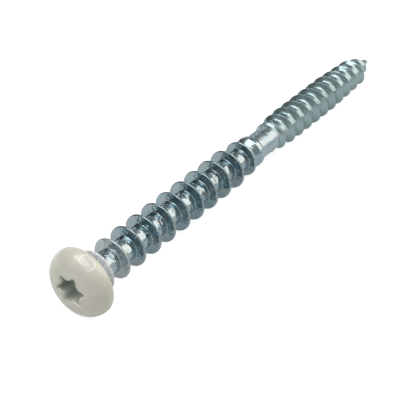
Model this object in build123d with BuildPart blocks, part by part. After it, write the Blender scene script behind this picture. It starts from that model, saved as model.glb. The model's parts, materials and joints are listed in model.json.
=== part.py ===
from build123d import *

import os
from math import atan, ceil, cos, degrees, floor, pi, radians, sin, sqrt, tan

# Frame screw: a domed head with a six-lobed drive, a ringed grip under the head, a short smooth
# shank and a coarse wood thread that runs out onto the point. It is made upright, with the crown of
# the head at height 0 and the point at the top, and is laid on its side at the end.
# Lengths are in millimetres and angles in degrees.

overall_length = 80.0

# Head. The dome rolls over a shoulder into the rim, and the rim is bevelled down to a flat
# bearing face.
head_diameter = 10.5
head_height = 3.75
crown_radius = 11.6
shoulder_radius = 2.55
bearing_diameter = 9.7

# Six-lobed drive recess, size 25.
drive_across_lobes = 4.5
drive_across_flutes = 3.25
drive_lobe_radius = 0.38
drive_depth = 2.6
drive_floor_angle = 62.0
drive_turn = -11.0

# Ringed grip: even rings, then a smaller ring and a broad collar that lead into the shank.
grip_core_diameter = 3.7
first_ring_height = 5.7
ring_pitch = 3.43
ring_count = 10
ring_diameter = 6.4
ring_width = 0.4
end_ring_gap = 3.7
end_ring_diameter = 5.8
collar_gap = 2.5
collar_diameter = 5.1
collar_land = 0.8
collar_flank_angle = 52.0

# Smooth shank, from the middle of the collar.
shank_diameter = 4.25
shank_length = 5.2

# Wood thread, right-handed, with one start. Its crest rises out of the shank, runs level, tapers
# and then follows the cone of the point.
thread_diameter = 5.8
thread_core_diameter = 4.0
thread_pitch = 2.56
thread_angle = 60.0
thread_lead = 1.5
thread_run_in = 8.5
thread_turn = -18.0
core_step_angle = 25.0
taper_angle = 2.6
taper_length = 9.0
point_angle = 26.0
point_core_angle = 20.0
point_flat_diameter = 0.3
foot_depth = 0.4
points_per_turn = 12

# Where the head is widest: the dome and the shoulder meet there without a corner.
head_radius = head_diameter / 2
shoulder_centre_radius = head_radius - shoulder_radius
crown_to_shoulder = crown_radius - shoulder_radius
rim_height = crown_radius - sqrt(crown_to_shoulder**2 - shoulder_centre_radius**2)
dome_edge = (
    shoulder_centre_radius * crown_radius / crown_to_shoulder,
    crown_radius - (crown_radius - rim_height) * crown_radius / crown_to_shoulder,
)

# Heights along the grip, the shank and the thread.
grip_core_radius = grip_core_diameter / 2
ring_heights = [first_ring_height + ring_pitch * ring for ring in range(ring_count)]
end_ring_height = ring_heights[-1] + end_ring_gap
collar_height = end_ring_height + collar_gap
collar_radius = collar_diameter / 2
collar_foot = collar_land / 2 + (collar_radius - grip_core_radius) * tan(radians(collar_flank_angle))
shank_radius = shank_diameter / 2
thread_core_radius = thread_core_diameter / 2
shank_end = collar_height + shank_length
core_start = shank_end + (shank_radius - thread_core_radius) / tan(radians(core_step_angle))
thread_start = shank_end - thread_lead

# The point: a core cone with a steeper crest cone over it. The thread ends where they meet.
crest_slope = tan(radians(point_angle))
core_slope = tan(radians(point_core_angle))
taper_slope = tan(radians(taper_angle))
point_flat_radius = point_flat_diameter / 2
thread_radius = thread_diameter / 2
core_cone_start = overall_length - (thread_core_radius - point_flat_radius) / core_slope
crest_cone_start = overall_length - (thread_radius - taper_length * taper_slope) / crest_slope
taper_start = crest_cone_start - taper_length
thread_end = overall_length - point_flat_radius / (crest_slope - core_slope)


def core_radius(height):
    """The screw's radius between the turns of the wood thread."""
    if height < shank_end:
        return shank_radius
    step = shank_radius - (height - shank_end) * tan(radians(core_step_angle))
    cone = point_flat_radius + (overall_length - height) * core_slope
    return min(max(step, thread_core_radius), cone)


def crest_radius(height):
    """The radius that the thread's crest reaches at a height."""
    left_to_rise = 1 - min((height - thread_start) / thread_run_in, 1)
    risen = thread_radius - (thread_radius - core_radius(height)) * left_to_rise**3
    tapered = thread_radius - max(height - taper_start, 0) * taper_slope
    cone = (overall_length - height) * crest_slope
    return min(risen, tapered, cone)


def thread_edges(side):
    """One long edge of the ridge, as one curve for each turn: its crest at side 0, a foot at -1 or 1."""
    turns = ceil((thread_end - thread_start) / thread_pitch)
    stations = turns * points_per_turn
    points = []
    for station in range(stations + 1):
        height = thread_start + (thread_end - thread_start) * station / stations
        foot = core_radius(height) - foot_depth
        crest = max(crest_radius(height), foot + foot_depth / 2)
        radius = crest if side == 0 else foot
        angle = radians(thread_turn) + 2 * pi * (height - thread_start) / thread_pitch
        along = height + side * (crest - foot) * tan(radians(thread_angle / 2))
        points.append((radius * cos(angle), radius * sin(angle), along))
    with BuildLine() as edge:
        Spline(*points)
    return [edge.edge().trim(turn / turns, (turn + 1) / turns) for turn in range(turns)]


# The turned body: head, grip, shank and the core of the thread, as one half section.
with BuildPart() as body:
    with BuildSketch(Plane.XZ):
        with BuildLine():
            crown = RadiusArc((0, 0), dome_edge, -crown_radius)
            shoulder = TangentArc(crown @ 1, (head_radius, rim_height), tangent=crown % 1)
            Polyline(
                shoulder @ 1,
                (bearing_diameter / 2, head_height),
                (grip_core_radius, head_height),
                (grip_core_radius, collar_height),
                (shank_radius, collar_height),
                (shank_radius, shank_end),
                (thread_core_radius, core_start),
                (thread_core_radius, core_cone_start),
                (point_flat_radius, overall_length),
                (0, overall_length),
                (0, 0),
            )
        make_face()
        with Locations(*[(0, height) for height in ring_heights]):
            Rectangle(ring_diameter / 2, ring_width, align=(Align.MIN, Align.CENTER))
        with Locations((0, end_ring_height)):
            Rectangle(end_ring_diameter / 2, ring_width, align=(Align.MIN, Align.CENTER))
        with BuildLine():
            Polyline(
                (0, collar_height - collar_foot),
                (grip_core_radius, collar_height - collar_foot),
                (collar_radius, collar_height - collar_land / 2),
                (collar_radius, collar_height + collar_land / 2),
                (grip_core_radius, collar_height + collar_foot),
                (0, collar_height + collar_foot),
                close=True,
            )
        make_face()
    revolve(axis=Axis.Z)

    # The drive: six round lobes, and six flutes that run into them without a corner.
    lobe_centre = drive_across_lobes / 2 - drive_lobe_radius
    half_flutes = drive_across_flutes / 2
    flute_radius = (
        lobe_centre**2
        + half_flutes**2
        - 2 * lobe_centre * half_flutes * cos(radians(30))
        - drive_lobe_radius**2
    ) / (2 * (drive_lobe_radius + lobe_centre * cos(radians(30)) - half_flutes))
    flute_centre = half_flutes + flute_radius
    share = drive_lobe_radius / (drive_lobe_radius + flute_radius)
    join_x = lobe_centre + (flute_centre * cos(radians(30)) - lobe_centre) * share
    join_y = flute_centre * sin(radians(30)) * share
    with BuildSketch(Plane.XY.offset(drive_depth)):
        with Locations(Location((0, 0, 0), (0, 0, drive_turn))):
            Circle(sqrt(join_x**2 + join_y**2))
        with PolarLocations(lobe_centre, 6, start_angle=drive_turn):
            Circle(drive_lobe_radius)
        with PolarLocations(flute_centre, 6, start_angle=drive_turn + 30):
            Circle(flute_radius, mode=Mode.SUBTRACT)
    extrude(amount=-2 * drive_depth, mode=Mode.SUBTRACT)
    with Locations((0, 0, drive_depth)):
        Cone(
            half_flutes,
            0,
            half_flutes / tan(radians(drive_floor_angle)),
            align=(Align.CENTER, Align.CENTER, Align.MIN),
            mode=Mode.SUBTRACT,
        )

# The wood thread: three ruled faces for each turn, closed at both ends inside the core.
ridge = [thread_edges(side) for side in (-1, 0, 1)]
ridge_faces = []
for near_side, far_side in zip(ridge, ridge[1:] + ridge[:1]):
    for near_edge, far_edge in zip(near_side, far_side):
        ridge_faces.append(Face.make_surface_from_curves(near_edge, far_edge))
for corners in ([side[0] @ 0 for side in ridge], [side[-1] @ 1 for side in ridge]):
    ridge_faces.append(Face.make_surface(Wire.make_polygon(corners, close=True).edges()))

with BuildPart() as upright_screw:
    add(body.part)
    add(Solid(Shell(ridge_faces)))

# At rest the screw lies on its rim and on the last level crest that comes round to the ground.
level_turns = (taper_start - thread_start) / thread_pitch
ground_turn = (90 - thread_turn) / 360
resting_turns = ground_turn + floor(level_turns - ground_turn)
resting_height = thread_start + resting_turns * thread_pitch
rest_tilt = degrees(atan((head_radius - thread_radius) / (resting_height - rim_height)))

laid_down = upright_screw.part.rotate(Axis.X, -90 - rest_tilt)
laid_box = laid_down.bounding_box()
with BuildPart() as frame_screw:
    with Locations((-laid_box.center().X, -laid_box.center().Y, -laid_box.min.Z)):
        add(laid_down)

frame_screw.part.label = "frame_screw"
os.makedirs("parts", exist_ok=True)
export_step(frame_screw.part, "parts/frame_screw.step")
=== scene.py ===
import json
from math import asin, atan2, ceil, cos, pi, radians, sin, sqrt, tan

import bmesh
import bpy
from mathutils import Matrix, Vector, noise


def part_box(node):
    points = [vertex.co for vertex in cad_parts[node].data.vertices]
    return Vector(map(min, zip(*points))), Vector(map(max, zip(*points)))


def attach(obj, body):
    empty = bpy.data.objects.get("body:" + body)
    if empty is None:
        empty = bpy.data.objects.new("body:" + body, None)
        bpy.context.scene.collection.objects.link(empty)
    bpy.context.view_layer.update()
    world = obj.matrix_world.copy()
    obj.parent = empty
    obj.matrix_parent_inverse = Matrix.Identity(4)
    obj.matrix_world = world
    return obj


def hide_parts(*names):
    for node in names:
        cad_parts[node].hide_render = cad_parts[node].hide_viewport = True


# Frame screw, dressed: one turned and thread-rolled piece of zinc plated steel whose head is
# dipped in cream lacquer. The piece is made upright in millimetres, crown at height 0 and point at
# the top, and is then laid along the screw's own axis. Angles are in degrees.

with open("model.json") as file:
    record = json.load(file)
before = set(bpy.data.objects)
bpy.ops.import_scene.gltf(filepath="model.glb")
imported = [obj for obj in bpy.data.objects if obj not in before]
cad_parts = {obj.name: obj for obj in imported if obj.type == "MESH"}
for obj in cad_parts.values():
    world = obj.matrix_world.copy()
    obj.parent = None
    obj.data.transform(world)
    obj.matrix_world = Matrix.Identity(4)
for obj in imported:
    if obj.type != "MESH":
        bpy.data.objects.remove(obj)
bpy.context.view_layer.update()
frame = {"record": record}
mounts = {mount["name"]: mount for mount in frame["record"]["mounts"]}
middle_height = mounts["drive"]["pos_m"][2]

MM = 0.001

# Head. The rows of the flat underside begin at bearing_radius.
head_radius = 5.25
head_height = 3.75
crown_radius = 11.6
shoulder_radius = 2.55
bearing_radius = head_radius - 1

# Six-lobed drive. The drive mount lies at drive_height, below the crown.
drive_height = 0.2
drive_across_lobes = 4.5
drive_across_flutes = 3.25
drive_lobe_radius = 0.38
drive_depth = 2.6
drive_floor_angle = 62
drive_turn = -11
drive_edge = 0.42
drive_corner = 0.35
mouth_circle_radius = 3.05

# From one lobe to the next, and half of that, in radians.
lobe_turn = pi / 3
half_lobe_turn = pi / 6

# Grip. The collar's flank is shorter towards the shank, by collar_back_share.
core_radius = 1.85
ring_radius = mounts["ring_grip"]["dims"]["r_mm"]
first_ring_height = 5.7
ring_pitch = 3.43
ring_count = 10
ring_width = 0.4
ring_slope = 0.1
end_ring_gap = 3.7
end_ring_radius = 2.9
collar_gap = 2.5
collar_radius = 2.55
collar_land = 0.8
collar_foot = 1.3
collar_back_share = 0.7
edge_rounding = 0.19
root_rounding = 0.1
collar_rounding = 0.3

# Shank and thread.
overall_length = 80
shank_radius = 2.125
shank_length = 5.2
thread_radius = 2.9
thread_core_radius = 2.0
thread_pitch = 2.56
thread_lead = 1.5
thread_run_in = 8.5
thread_turn = -18
core_step_angle = 25
taper_angle = 2.6
taper_length = 9
point_angle = 26
point_core_angle = 20
point_radius = 0.15
ridge_half_width = 0.56
crest_softness = 0.06
root_softness = 0.14

# How finely the piece is divided: its columns, the rows of each part, and the turn and the length
# that one step may cover. A rounding's support rows lie beyond it by support_share of its reach.
columns = 132
drive_floor_rows = 6
drive_corner_rows = 4
drive_edge_rows = 6
mouth_rows = 6
dome_rows = 3
shoulder_rows = 14
under_rows = 6
rows_per_turn = 16
row_crowding = 0.7
arc_step = 28
longest_step = 0.36
support_share = 0.25

# Points nearer than this are merged, and edges shorter than this are taken out.
weld_distance = 0.0005
shortest_edge = 0.0002

# A blister in the lacquer near the rim: its height, its turn about the axis from the side that
# faces up, and its half lengths around the head and down it.
blister_height = 2.13
blister_turn = 20
blister_around = 1.2
blister_down = 0.74

# Unevenness left by the rolling: how deep and how wide the dents are, and how far the crests waver.
# Finer dents lie over them. Crests are dented less, and all past the rings is more even.
dent_depth = 0.036
dent_width = 0.75
fine_dent_share = 0.5
fine_dent_times = 2.3
crest_waver = 0.07
waver_width = 1.9
crest_evenness = 0.6
thread_unevenness = 0.25

# Colours of the lacquer.
cream_shade = (0.60, 0.60, 0.50)
cream_light = (0.655, 0.64, 0.565)
cream_mottle = (0.5, 0.49, 0.4)
speck_brown = (0.24, 0.23, 0.18)
blister_grey = (0.55, 0.53, 0.51)
# The blister's rim colour is a painted highlight along its raised edge.
painted_rim_highlight = (0.86, 0.84, 0.79)
drive_grey = (0.50, 0.54, 0.49)
# The veil is real lacquer mist, painted paler than the cream: partly painted light in the head's shade.
painted_light_veil_grey = (0.84, 0.85, 0.86)

# Colours of the plating. The blotches are the stops of a ramp over its mottling.
zinc_blotches = (
    (0.3, (0.225, 0.335, 0.38)),
    (0.45, (0.29, 0.395, 0.44)),
    (0.56, (0.34, 0.395, 0.405)),
    (0.68, (0.285, 0.425, 0.465)),
)
thread_zinc = (0.265, 0.365, 0.375)
# The crests are painted darker: painted shade that dims their mirror of the lights.
crest_painted_shade = (0.12, 0.17, 0.18)
pit_zinc = (0.07, 0.1, 0.105)

# Scales of the mottling and of the specks. A larger number is a finer pattern.
lacquer_drift = 230
speck_cells = 420
zinc_blotch = 620
lacquer_ripple = 650
blister_wobble = 900
fine_mottle = 1500
zinc_pits = 2600

# A veil of lacquer lies on the plating next to the head. It thins a little just before the first
# ring and ends raggedly just past it. A fainter one rises before the second ring and ends on it.
# These are the heights between which each change takes place, and how much is left or reached.
veil_thinning = (5.0, 5.5)
veil_end = (6.1, 6.45)
second_veil_start = (8.4, 8.8)
second_veil_end = (9.1, 9.3)
thinned_veil = 0.8
second_veil = 0.4

# Specks: the share of cells without one, and the distances from a cell's middle, as a share of the
# cell, between which a speck fades out from its full strength.
bare_cells = 0.5
speck_fade = (0.035, 0.075)
speck_strength = 0.55

# Roughness. The first two are the smoothest and the dullest patches of each finish, and the others
# are added past the collar, on the crests and under the veil.
lacquer_gloss = (0.36, 0.5)
zinc_gloss = (0.08, 0.17)
coat_roughness = 0.09
dull_past_collar = 0.14
dull_crest = 0.15
dull_veil = 0.3

# Far enough from the blister to leave no trace of it.
out_of_reach = 9

# Heights and slopes that follow from the sizes above.
ring_heights = [first_ring_height + ring_pitch * ring for ring in range(ring_count)]
end_ring_height = ring_heights[-1] + end_ring_gap
collar_height = end_ring_height + collar_gap
shank_end = collar_height + shank_length
thread_start = shank_end - thread_lead
taper_slope = tan(radians(taper_angle))
crest_slope = tan(radians(point_angle))
crest_cone_start = overall_length - (thread_radius - taper_length * taper_slope) / crest_slope
taper_start = crest_cone_start - taper_length


def arc(centre, radius, start, end, steps):
    """Points (radius, height) along an arc of the half section, turned from straight outwards."""
    turns = [radians(start + (end - start) * step / steps) for step in range(steps + 1)]
    return [(centre[0] + radius * cos(turn), centre[1] + radius * sin(turn)) for turn in turns]


def rounded(corners):
    """A half section through corners (radius, height, rounding), with each inner corner rounded."""
    points = [Vector(corners[0][:2])]
    for before, corner, after in zip(corners, corners[1:], corners[2:]):
        tip = Vector(corner[:2])
        rounding = corner[2]
        back = (Vector(before[:2]) - tip).normalized()
        on = (Vector(after[:2]) - tip).normalized()
        half = back.angle(on) / 2
        reach = rounding / tan(half)
        centre = tip + (back + on).normalized() * rounding / sin(half)
        start = tip + back * reach - centre
        end = tip + on * reach - centre
        steps = max(2, ceil((pi - 2 * half) / radians(arc_step)))
        ways = [start.normalized().slerp(end.normalized(), step / steps) for step in range(steps + 1)]
        points.append(centre + start + back * reach * support_share)
        points += [centre + way * rounding for way in ways]
        points.append(centre + end + on * reach * support_share)
    points.append(Vector(corners[-1][:2]))
    return [tuple(point) for point in points]


def divided(points):
    """The half section with its long straight stretches cut into short steps."""
    cut = [points[0]]
    for start, end in zip(points, points[1:]):
        steps = max(1, ceil((Vector(end) - Vector(start)).length / longest_step))
        cut += [tuple(Vector(start).lerp(Vector(end), step / steps)) for step in range(1, steps + 1)]
    return cut


def turned(radius, height):
    """A row of the piece that is a plain circle."""
    return lambda angle: (radius, height)


def lobed_radius(angle):
    """The drive's outline: six lobes and six flutes that run into them without a corner."""
    lobe_centre = drive_across_lobes / 2 - drive_lobe_radius
    half_flutes = drive_across_flutes / 2
    cos_half = cos(half_lobe_turn)
    flute_radius = (
        lobe_centre**2 + half_flutes**2 - 2 * lobe_centre * half_flutes * cos_half - drive_lobe_radius**2
    ) / (2 * (drive_lobe_radius + lobe_centre * cos_half - half_flutes))
    flute_centre = half_flutes + flute_radius
    share = drive_lobe_radius / (drive_lobe_radius + flute_radius)
    join_x = lobe_centre + (flute_centre * cos_half - lobe_centre) * share
    join_y = flute_centre * sin(half_lobe_turn) * share
    off_lobe = abs((angle - radians(drive_turn) + half_lobe_turn) % lobe_turn - half_lobe_turn)
    if off_lobe < atan2(join_y, join_x):
        across = lobe_centre * sin(off_lobe)
        return lobe_centre * cos(off_lobe) + sqrt(max(drive_lobe_radius**2 - across**2, 0))
    off_flute = half_lobe_turn - off_lobe
    across = flute_centre * sin(off_flute)
    return flute_centre * cos(off_flute) - sqrt(max(flute_radius**2 - across**2, 0))


def dome_height(radius):
    """The height of the head's dome at a radius."""
    return crown_radius - sqrt(crown_radius**2 - radius**2)


def drive_floor_row(share):
    """A row of the drive's floor, which is a cone inside the flutes and flat outside them."""
    half_flutes = drive_across_flutes / 2

    def place(angle):
        radius = (lobed_radius(angle) - drive_corner) * share
        return radius, drive_depth + max(half_flutes - radius, 0) / tan(radians(drive_floor_angle))

    return place


def drive_corner_row(turn):
    """A row of the rounding between the drive's floor and its wall."""

    def place(angle):
        inner = lobed_radius(angle) - drive_corner
        return inner + drive_corner * sin(turn), drive_depth - drive_corner * (1 - cos(turn))

    return place


def drive_edge_row(turn):
    """A row of the soft edge between the drive's wall and the dome."""

    def place(angle):
        wall = lobed_radius(angle)
        radius = wall + drive_edge * (1 - cos(turn))
        return radius, dome_height(wall + drive_edge) + drive_edge * (1 - sin(turn))

    return place


def mouth_row(share):
    """A row of the dome on its way from the lobed edge to a circle."""

    def place(angle):
        near = lobed_radius(angle) + drive_edge
        radius = near + (mouth_circle_radius - near) * share
        return radius, dome_height(radius)

    return place


def drive_rows():
    """Rows from the middle of the drive's floor, up its wall and over its soft edge to a circle."""
    rows = [drive_floor_row(step / drive_floor_rows) for step in range(drive_floor_rows + 1)]
    rows += [drive_corner_row(pi / 2 * step / drive_corner_rows) for step in range(1, drive_corner_rows + 1)]
    rows += [drive_edge_row(pi / 2 * step / drive_edge_rows) for step in range(drive_edge_rows)]
    rows += [mouth_row(step / mouth_rows) for step in range(mouth_rows)]
    return rows


def head_section():
    """The dome outside the drive, its shoulder and the quarter round under the rim."""
    shoulder_centre = head_radius - shoulder_radius
    reach = crown_radius - shoulder_radius
    rim_height = crown_radius - sqrt(reach**2 - shoulder_centre**2)
    edge_turn = asin(shoulder_centre / reach) * 180 / pi
    under_radius = head_height - rim_height
    mouth_turn = asin(mouth_circle_radius / crown_radius) * 180 / pi
    dome = arc((0, crown_radius), crown_radius, mouth_turn - 90, edge_turn - 90, dome_rows)
    shoulder = arc((shoulder_centre, rim_height), shoulder_radius, edge_turn - 90, 0, shoulder_rows)
    under = arc((head_radius - under_radius, rim_height), under_radius, 0, 90, under_rows)
    return dome + shoulder[1:] + under[1:]


def grip_section():
    """Neck, rings, collar and shank, as far as the start of the thread."""
    rings = [(height, ring_radius) for height in ring_heights]
    rings.append((end_ring_height, end_ring_radius))
    corners = [(bearing_radius, head_height, 0), (core_radius, head_height, root_rounding)]
    for height, radius in rings:
        corners += [
            (core_radius, height - ring_width / 2 - ring_slope, root_rounding),
            (radius, height - ring_width / 2, edge_rounding),
            (radius, height + ring_width / 2, edge_rounding),
            (core_radius, height + ring_width / 2 + ring_slope, root_rounding),
        ]
    corners += [
        (core_radius, collar_height - collar_foot, collar_rounding),
        (collar_radius, collar_height - collar_land / 2, collar_rounding),
        (collar_radius, collar_height + collar_land / 2, collar_rounding),
        (shank_radius, collar_height + collar_foot * collar_back_share, collar_rounding),
        (shank_radius, thread_start, 0),
    ]
    return divided(rounded(corners))


def thread_core(height):
    """The screw's radius between the turns of the thread."""
    if height < shank_end:
        return shank_radius
    step = shank_radius - (height - shank_end) * tan(radians(core_step_angle))
    cone = point_radius + (overall_length - height) * tan(radians(point_core_angle))
    return min(max(step, thread_core_radius), cone)


def thread_crest(height):
    """The radius of the thread's crest: it rises, runs level, tapers and follows the point."""
    left_to_rise = 1 - min((height - thread_start) / thread_run_in, 1)
    risen = thread_radius - (thread_radius - thread_core(height)) * left_to_rise**3
    tapered = thread_radius - max(height - taper_start, 0) * taper_slope
    cone = point_radius + (overall_length - height) * crest_slope
    return min(risen, tapered, cone)


def thread_row(step):
    """A row that winds up the thread. Whole turns are the crest, and the rows crowd near it."""
    turns = step / rows_per_turn
    turns -= row_crowding * sin(2 * pi * turns) / (2 * pi)
    off_crest = abs((turns + 0.5) % 1 - 0.5) * thread_pitch / ridge_half_width
    flank = 1 + crest_softness - sqrt(off_crest**2 + crest_softness**2)
    share = min((flank + sqrt(flank**2 + root_softness**2)) / 2, 1)

    def place(angle):
        height = thread_start + thread_pitch * (turns + (angle - radians(thread_turn)) / (2 * pi))
        height = min(max(height, thread_start), overall_length)
        core = thread_core(height)
        return core + (thread_crest(height) - core) * share, height

    return place


def thread_rows():
    """The rows of the thread. They wind, so they begin two turns early to leave no part bare."""
    turns = ceil((overall_length - thread_start) / thread_pitch)
    return [thread_row(step) for step in range(-2 * rows_per_turn, turns * rows_per_turn + 1)]


def uneven(place, ridge):
    """A point of the rolled part, dented on its flanks and core and wavering on its crests."""
    outward = Vector((place.x, place.y, 0)).normalized()
    fine_dents = noise.noise(place / dent_width * fine_dent_times)
    dents = noise.noise(place / dent_width) + fine_dent_share * fine_dents
    waver = noise.noise(place / waver_width)
    rolled = 1 if place.z < collar_height - collar_foot else thread_unevenness
    dent = outward * dent_depth * dents * (1 - crest_evenness * ridge)
    return place + (dent + Vector((0, 0, crest_waver * waver * ridge))) * rolled


def ridge_share(radius, height):
    """0 on the core and 1 on the crest of a ring or of the thread."""
    if height < collar_height:
        core = core_radius
        crest = ring_radius
    else:
        core = thread_core(max(height, thread_start))
        crest = core + thread_radius - thread_core_radius
    return min(max((radius - core) / (crest - core), 0), 1)


def spun_chain(mesh, rows):
    """Spin a chain with one point for each row all the way round, and return its last column.

    A winding row ends one turn above its start, so the ends are left open here and merged later."""
    row_of = mesh.verts.layers.int["row"]
    chain = []
    for number, row in enumerate(rows):
        radius, height = row(0)
        chain.append(mesh.verts.new((radius, 0, height)))
        chain[-1][row_of] = number
    edges = [mesh.edges.new(pair) for pair in zip(chain, chain[1:])]
    spun = bmesh.ops.spin(
        mesh,
        geom=chain + edges,
        cent=(0, 0, 0),
        axis=(0, 0, 1),
        angle=2 * pi,
        steps=columns,
        use_merge=False,
        use_duplicate=False,
    )
    return {part for part in spun["geom_last"] if isinstance(part, bmesh.types.BMVert)}


def placed(name, data):
    """A new object of the scene that holds a mesh, a lamp or a camera."""
    made = bpy.data.objects.new(name, data)
    bpy.context.scene.collection.objects.link(made)
    return made


def mesh_object(name, mesh):
    """A new object made of a finished bmesh."""
    data = bpy.data.meshes.new(name)
    mesh.to_mesh(data)
    mesh.free()
    return placed(name, data)


def screw_piece():
    """The whole screw as one closed piece: its half section, spun round and then shaped row by row."""
    drive = drive_rows()
    head = drive + [turned(*point) for point in head_section()]
    rows = head + [turned(*point) for point in grip_section()] + thread_rows()
    rows.append(turned(0, overall_length))

    # Every layer is made before the spin. The materials read the three floats as attributes.
    mesh = bmesh.new()
    row_of = mesh.verts.layers.int.new("row")
    along = mesh.verts.layers.float.new("along")
    ridge = mesh.verts.layers.float.new("ridge")
    hollow = mesh.verts.layers.float.new("hollow")
    last_column = spun_chain(mesh, rows)
    for vertex in mesh.verts:
        column = round(atan2(vertex.co.y, vertex.co.x) / (2 * pi) * columns) % columns
        if vertex in last_column:
            column = columns
        angle = 2 * pi * column / columns
        radius, height = rows[vertex[row_of]](angle)
        vertex.co = (radius * cos(angle), radius * sin(angle), height)
        vertex[along] = height
        vertex[ridge] = ridge_share(radius, height)
        if vertex[row_of] > len(head) and radius > 2 * point_radius:
            vertex.co = uneven(vertex.co.copy(), vertex[ridge])
        if vertex[row_of] < len(drive):
            vertex[hollow] = max(height - dome_height(radius), 0) / drive_depth
    for face in mesh.faces:
        lacquered = min(vertex[row_of] for vertex in face.verts) < len(head)
        face.material_index = 0 if lacquered else 1
        face.smooth = True
    bmesh.ops.scale(mesh, vec=(MM, MM, MM), verts=mesh.verts)
    bmesh.ops.remove_doubles(mesh, verts=mesh.verts, dist=weld_distance * MM)
    bmesh.ops.dissolve_degenerate(mesh, dist=shortest_edge * MM, edges=mesh.edges)
    bmesh.ops.recalc_face_normals(mesh, faces=mesh.faces)

    # The drive mount lies on the axis, just under the crown, and points out of the head.
    axis = -Vector(mounts["drive"]["axis"]).normalized()
    crown = Vector(mounts["drive"]["pos_m"]) - axis * drive_height * MM
    side = Vector((1, 0, 0))
    lay = Matrix((side, axis.cross(side), axis)).transposed().to_4x4()
    mesh.transform(Matrix.Translation(crown) @ lay)
    return mesh_object("screw", mesh)


def plug(tree, socket, value):
    """Link a socket to another node's output, or set it to a value."""
    if isinstance(value, bpy.types.NodeSocket):
        tree.links.new(value, socket)
    else:
        socket.default_value = value


def add(tree, kind, inputs=(), **settings):
    """A node with its settings and inputs; an input is a value or another node's output."""
    made = tree.nodes.new(kind)
    for name, value in settings.items():
        setattr(made, name, value)
    for name, value in dict(inputs).items():
        plug(tree, made.inputs[name], value)
    return made


def maths(tree, operation, first, second=0.0):
    """The result of an operation on two values."""
    return add(tree, "ShaderNodeMath", {0: first, 1: second}, operation=operation).outputs["Value"]


def plus(tree, first, second):
    return maths(tree, "ADD", first, second)


def times(tree, first, second):
    return maths(tree, "MULTIPLY", first, second)


def span(tree, value, low, high, out_low=0.0, out_high=1.0):
    """A value that goes softly from out_low to out_high while another goes from low to high."""
    ends = {"Value": value, "From Min": low, "From Max": high, "To Min": out_low, "To Max": out_high}
    return add(tree, "ShaderNodeMapRange", ends, interpolation_type="SMOOTHSTEP").outputs["Result"]


def ramp(tree, value, stops):
    """A colour that goes through stops (position, colour) as a value grows."""
    made = add(tree, "ShaderNodeValToRGB", {"Fac": value})
    elements = made.color_ramp.elements
    while len(elements) < len(stops):
        elements.new(0.5)
    for element, (position, colour) in zip(elements, stops):
        element.position = position
        element.color = (*colour, 1)
    return made.outputs["Color"]


def mix(tree, share, first, second):
    """A colour between two others, each one a node's output or plain red, green and blue."""
    made = add(tree, "ShaderNodeMix", data_type="RGBA")
    sockets = {socket.identifier: socket for socket in made.inputs}
    plug(tree, sockets["Factor_Float"], share)
    for name, colour in (("A_Color", first), ("B_Color", second)):
        plug(tree, sockets[name], (*colour, 1) if isinstance(colour, tuple) else colour)
    results = {socket.identifier: socket for socket in made.outputs}
    return results["Result_Color"]


def attribute(tree, name):
    """One of the values that the piece carries at its points."""
    return add(tree, "ShaderNodeAttribute", attribute_name=name).outputs["Fac"]


def object_place(tree):
    """A point's place on the piece."""
    return add(tree, "ShaderNodeTexCoord").outputs["Object"]


def along_way(tree, place, way):
    """How far a place lies along a direction."""
    return add(tree, "ShaderNodeVectorMath", {0: place, 1: way}, operation="DOT_PRODUCT").outputs["Value"]


def mottle_group():
    """Patches of one size, as plain noise and as the same noise spread between two values."""
    group = bpy.data.node_groups.new("mottle", "ShaderNodeTree")
    for name in ("Scale", "Detail", "Coarseness", "Low", "High"):
        group.interface.new_socket(name, in_out="INPUT", socket_type="NodeSocketFloat")
    for name in ("Noise", "Spread"):
        group.interface.new_socket(name, in_out="OUTPUT", socket_type="NodeSocketFloat")
    given = add(group, "NodeGroupInput").outputs
    patches = add(
        group,
        "ShaderNodeTexNoise",
        {
            "Vector": object_place(group),
            "Scale": given["Scale"],
            "Detail": given["Detail"],
            "Roughness": given["Coarseness"],
        },
    ).outputs["Fac"]
    spread = span(group, patches, 0.3, 0.7, given["Low"], given["High"])
    add(group, "NodeGroupOutput", {"Noise": patches, "Spread": spread})
    return group


mottle = mottle_group()


def mottled(tree, scale, detail=2.0, coarseness=0.5, spread=(0.0, 1.0)):
    """The mottle group's two outputs, Noise and Spread, with this use's own values."""
    low, high = spread
    values = {"Scale": scale, "Detail": detail, "Coarseness": coarseness, "Low": low, "High": high}
    return add(tree, "ShaderNodeGroup", values, node_tree=mottle).outputs


def cleared(holder):
    """The empty node tree of a new material or world."""
    holder.use_nodes = True
    holder.node_tree.nodes.clear()
    return holder.node_tree


def coated(tree, colour, roughness, height, strength, distance):
    """The shader of a finish, with its colour, roughness and relief."""
    bump = add(tree, "ShaderNodeBump", {"Height": height, "Strength": strength, "Distance": distance})
    shader = add(
        tree,
        "ShaderNodeBsdfPrincipled",
        {"Base Color": colour, "Roughness": roughness, "Normal": bump.outputs["Normal"]},
    )
    add(tree, "ShaderNodeOutputMaterial", {"Surface": shader.outputs["BSDF"]})
    return shader


def cubed_share(tree, value, size):
    """The cube of a value's share of a size, whichever its sign."""
    return maths(tree, "POWER", maths(tree, "ABSOLUTE", maths(tree, "DIVIDE", value, size)), 3)


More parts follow.
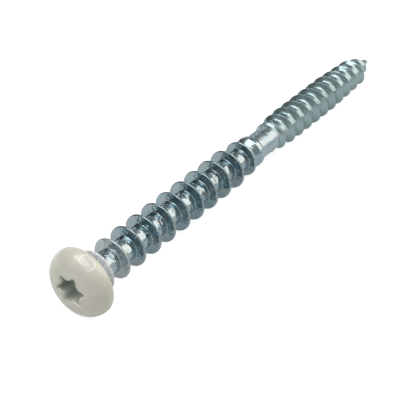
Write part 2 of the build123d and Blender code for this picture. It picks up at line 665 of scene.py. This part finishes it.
def blister_reach(tree):
    """0 in the middle of the blister, 1 on its edge and more outside it."""
    axis = Vector(mounts["drive"]["axis"]).normalized()
    outward = Matrix.Rotation(radians(blister_turn), 3, Vector((0, 1, 0))) @ Vector((0, 0, 1))
    around = outward.cross(axis).normalized()
    place = object_place(tree)
    axis_place = around.dot(Vector(mounts["drive"]["pos_m"]))
    across = maths(tree, "SUBTRACT", along_way(tree, place, around), axis_place)
    down = maths(tree, "SUBTRACT", attribute(tree, "along"), blister_height)
    across_share = cubed_share(tree, across, blister_around * MM)
    reach = plus(tree, across_share, cubed_share(tree, down, blister_down))
    wobble = mottled(tree, blister_wobble, spread=(0.75, 1.3))["Spread"]

    # The far side of the head is put out of the blister's reach.
    above = along_way(tree, place, outward)
    hidden = span(tree, above, middle_height, middle_height + head_radius * MM / 2, out_of_reach, 0)
    return plus(tree, times(tree, reach, wobble), hidden)


def blister_edge(tree, reach):
    """1 along the blister's raised edge and 0 away from it. The edge is raised and is also painted lighter,
    as a painted highlight.
    """
    return times(tree, span(tree, reach, 0.45, 0.8), span(tree, reach, 1.2, 1.7, 1, 0))


def specks(tree):
    """Small dark specks in about half of a field of cells."""
    cells = add(
        tree,
        "ShaderNodeTexVoronoi",
        {"Vector": object_place(tree), "Scale": speck_cells, "Randomness": 1.0},
    ).outputs
    chance = add(tree, "ShaderNodeSeparateColor", {"Color": cells["Color"]}).outputs["Red"]
    chosen = maths(tree, "GREATER_THAN", chance, bare_cells)
    return times(tree, span(tree, cells["Distance"], *speck_fade, speck_strength, 0), chosen)


def lacquer_colour(tree, reach, edge):
    """Cream lacquer: uneven, blistered, with a few dark specks, a painted highlight along the blister's
    raised edge, and thin and grey in the drive.
    """
    drift = mottled(tree, lacquer_drift)["Noise"]
    fine = mottled(tree, fine_mottle)["Noise"]
    cream = mix(tree, span(tree, drift, 0.35, 0.65), cream_shade, cream_light)
    cream = mix(tree, span(tree, fine, 0.6, 0.8, 0, 0.4), cream, cream_mottle)
    cream = mix(tree, specks(tree), cream, speck_brown)
    cream = mix(tree, span(tree, reach, 0.5, 0.9, 0.6, 0), cream, blister_grey)
    # Painted highlight: the blister's raised edge is painted lighter.
    cream = mix(tree, times(tree, edge, 0.5), cream, painted_rim_highlight)
    return mix(tree, span(tree, attribute(tree, "hollow"), 0.0, 0.5), cream, drive_grey)


def cream_lacquer():
    """Glossy cream lacquer that ripples a little and is raised along the blister's edge, where a highlight is
    painted too.
    """
    material = bpy.data.materials.new("cream_lacquer")
    tree = cleared(material)
    reach = blister_reach(tree)
    edge = blister_edge(tree, reach)
    ripple = mottled(tree, lacquer_ripple, spread=lacquer_gloss)
    height = plus(tree, ripple["Noise"], edge)
    colour = lacquer_colour(tree, reach, edge)
    shader = coated(tree, colour, ripple["Spread"], height, strength=0.6, distance=0.00005)
    shader.inputs["Coat Weight"].default_value = 1.0
    shader.inputs["Coat Roughness"].default_value = coat_roughness
    return material


def lacquer_veil(tree, along, grain, pits):
    """Lacquer that ran past the head onto the neck and the first ring, and faintly the second. Its colour is
    painted paler than the lacquer, as painted light, mostly where the head shades them.
    """
    ragged = plus(tree, along, times(tree, grain, 0.5))
    first = span(tree, ragged, *veil_end, 1.0, 0.0)
    second_start = span(tree, along, *second_veil_start, 0.0, second_veil)
    second = times(tree, second_start, span(tree, along, *second_veil_end, 1.0, 0.0))
    veil = maths(tree, "MAXIMUM", first, second)
    veil = times(tree, veil, span(tree, along, *veil_thinning, 1.0, thinned_veil))
    return times(tree, veil, span(tree, pits, 0.42, 0.6, 1.0, 0.6))


def zinc_colour(tree, blotch, threaded, crest, pits):
    """Blue zinc in blotches, more even on the thread, with painted shade on the crests, and darker in the
    pits.
    """
    zinc = mix(tree, threaded, ramp(tree, blotch, zinc_blotches), thread_zinc)
    # Painted shade: the crests are darkened so that they mirror less of the lights.
    painted_crest_shade = times(tree, crest, span(tree, threaded, 0, 1, 0.4, 0.7))
    zinc = mix(tree, painted_crest_shade, zinc, crest_painted_shade)
    return mix(tree, span(tree, pits, 0.66, 0.76, 0, 0.6), zinc, pit_zinc)


def zinc_roughness(tree, uneven_gloss, along, crest, veil):
    """The plating is duller past the collar, on the crests and under the veil of lacquer."""
    past_collar = span(tree, along, collar_height - 1, collar_height + 1, 0, dull_past_collar)
    rough = plus(tree, uneven_gloss, past_collar)
    rough = plus(tree, rough, times(tree, crest, dull_crest))
    return plus(tree, rough, times(tree, veil, dull_veil))


def blue_zinc():
    """Bright zinc with a blue passivation: mottled, crystalline, duller on the crests and painted darker
    there as shade.
    """
    material = bpy.data.materials.new("blue_zinc")
    tree = cleared(material)
    along = attribute(tree, "along")
    threaded = span(tree, along, shank_end - 1, shank_end + 4)
    crest = span(tree, attribute(tree, "ridge"), 0.88, 1.0)
    blotch = mottled(tree, zinc_blotch, 3, 0.6, spread=zinc_gloss)
    pits = mottled(tree, zinc_pits, 3, 0.7)["Noise"]
    grain = mottled(tree, fine_mottle)["Noise"]
    veil = lacquer_veil(tree, along, grain, pits)
    colour = zinc_colour(tree, blotch["Noise"], threaded, crest, pits)
    # Painted light: the veil is paler than the lacquer, to lift the head's shade on the neck and the first
    # ring.
    colour = mix(tree, veil, colour, painted_light_veil_grey)
    rough = zinc_roughness(tree, blotch["Spread"], along, crest, veil)
    relief = times(tree, grain, span(tree, along, collar_height - 2, collar_height, 1.0, 0.75))
    shader = coated(tree, colour, rough, relief, strength=1.0, distance=0.00011)
    plug(tree, shader.inputs["Metallic"], maths(tree, "SUBTRACT", 1.0, veil))
    return material


screw = screw_piece()
screw.data.materials.append(cream_lacquer())
screw.data.materials.append(blue_zinc())
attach(screw, "root")
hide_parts("frame_screw")

# The studio, in metres. The floor and the world look white, and add less than that to the light
# on the screw. The cards show only in what the plating and the lacquer mirror.
white = (1, 1, 1)
warm_white = (1.0, 0.93, 0.87)
warm_sheen = (1.0, 0.86, 0.79)
floor_width = 6
floor_grey = 0.6
floor_glow = {"Is Camera Ray": 0.79, "Is Glossy Ray": 0.3, "Is Transmission Ray": 0.35}
world_light = 0.28

# Lamps: direction from the screw, distance, width, height, radiance and colour.
lamps = {
    "main_softbox": ((0.529, 0.631, 0.567), 0.45, 0.42, 0.5, 1.5, warm_white),
    "top_softbox": ((-0.2, -0.3, 1.0), 0.6, 0.6, 0.5, 3.0, white),
}

# Cards: direction from the screw, distance, width, height, glow at the foot and the top, colour.
cards = {
    "main_sheen": ((0.549, 0.631, 0.549), 0.44, 0.42, 0.8, 2.5, 2.5, warm_sheen),
    "right_strip": ((0.776, 0.631, 0.03), 0.3, 0.5, 0.03, 0.05, 0.05, white),
    "left_window": ((-0.714, 0.631, 0.303), 0.27, 0.3, 0.05, 1.6, 1.6, white),
    "left_flag": ((-0.672, 0.631, 0.388), 0.3, 0.7, 0.5, 0.03, 0.4, white),
    "left_wall": ((-0.9, -0.3, 0.3), 0.35, 0.6, 0.45, 0.05, 0.35, white),
    "near_wall": ((-0.15, -0.9, 0.4), 0.5, 0.75, 0.9, 0.2, 0.42, white),
    "near_right": ((0.7, -0.7, 0.35), 0.5, 0.6, 0.9, 0.45, 0.5, white),
}

# Camera: it looks down past the head towards the point, aimed a little off the screw's middle.
camera_azimuth = 36.416
camera_elevation = 38.343
camera_roll = 0.218
camera_distance = 0.17448
camera_offset = (-0.00226, -0.00742, -0.00586)
camera_lens = 100.76
camera_sensor = 36
camera_clip_start = 0.01


def flat_sheet(name, width, height):
    """A flat rectangle around its own middle."""
    sheet = bmesh.new()
    bmesh.ops.create_grid(sheet, x_segments=1, y_segments=1, size=0.5)
    bmesh.ops.scale(sheet, vec=(width, height, 1), verts=sheet.verts)
    return mesh_object(name, sheet)


def white_floor():
    """A wide white sheet at the height that the screw lies on. It keeps the screw's soft shadow."""
    floor = flat_sheet("floor", floor_width, floor_width)
    material = bpy.data.materials.new("white_sheet")
    tree = cleared(material)
    ray = add(tree, "ShaderNodeLightPath").outputs
    matt = add(tree, "ShaderNodeBsdfDiffuse", {"Color": (floor_grey, floor_grey, floor_grey, 1)})
    camera_glow, glossy_glow, glass_glow = [times(tree, ray[kind], glow) for kind, glow in floor_glow.items()]
    strength = plus(tree, plus(tree, camera_glow, glossy_glow), glass_glow)
    glow = add(tree, "ShaderNodeEmission", {"Strength": strength})
    both = add(tree, "ShaderNodeAddShader", {0: matt.outputs[0], 1: glow.outputs[0]})
    add(tree, "ShaderNodeOutputMaterial", {"Surface": both.outputs[0]})
    floor.data.materials.append(material)


def studio_world():
    """White to the camera, in gloss and through glass, and dimmer as light on the screw."""
    world = bpy.data.worlds.new("studio")
    bpy.context.scene.world = world
    tree = cleared(world)
    ray = add(tree, "ShaderNodeLightPath").outputs
    seen = maths(tree, "MAXIMUM", ray["Is Camera Ray"], ray["Is Glossy Ray"])
    seen = maths(tree, "MAXIMUM", seen, ray["Is Transmission Ray"])
    strength = span(tree, seen, 0, 1, world_light, 1.0)
    back = add(tree, "ShaderNodeBackground", {"Color": (*white, 1), "Strength": strength})
    add(tree, "ShaderNodeOutputWorld", {"Surface": back.outputs[0]})


def aim(thing, place, target):
    """Put a thing at a place so that it looks at a target."""
    thing.location = place
    thing.rotation_euler = (target - place).to_track_quat("-Z", "Y").to_euler()


def softbox(name, direction, distance, width, height, radiance, colour):
    """A rectangular lamp that looks at the screw from a direction."""
    lamp = bpy.data.lights.new(name, "AREA")
    lamp.shape = "RECTANGLE"
    lamp.size = width
    lamp.size_y = height
    lamp.energy = radiance * width * height * pi
    lamp.color = colour
    aim(placed(name, lamp), middle + Vector(direction).normalized() * distance, middle)


def mirrored_card(name, direction, distance, width, height, foot, top, colour):
    """A card beside the table for the finish to mirror, with its own glow at its foot and top."""
    card = flat_sheet(name, width, height)
    aim(card, middle + Vector(direction).normalized() * distance, middle)
    material = bpy.data.materials.new(name)
    tree = cleared(material)
    up = add(tree, "ShaderNodeSeparateXYZ", {"Vector": object_place(tree)}).outputs["Y"]
    strength = span(tree, up, -height / 2, height / 2, foot, top)
    glow = add(tree, "ShaderNodeEmission", {"Color": (*colour, 1), "Strength": strength})
    add(tree, "ShaderNodeOutputMaterial", {"Surface": glow.outputs[0]})
    card.data.materials.append(material)
    card.visible_camera = False
    card.visible_diffuse = False
    card.visible_shadow = False


def studio_camera():
    """The scene's camera."""
    data = bpy.data.cameras.new("camera")
    data.lens = camera_lens
    data.sensor_width = camera_sensor
    data.clip_start = camera_clip_start
    camera = placed("camera", data)
    turn = radians(camera_azimuth)
    lift = radians(camera_elevation)
    back = Vector((sin(turn) * cos(lift), -cos(turn) * cos(lift), sin(lift)))
    target = middle + Vector(camera_offset)
    aim(camera, target + back * camera_distance, target)
    camera.rotation_euler.rotate_axis("Z", radians(camera_roll))
    bpy.context.scene.camera = camera


low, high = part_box("frame_screw")
middle = (low + high) / 2
white_floor()
studio_world()
for name, lamp in lamps.items():
    softbox(name, *lamp)
for name, card in cards.items():
    mirrored_card(name, *card)
studio_camera()
bpy.context.scene.view_settings.view_transform = "Standard"
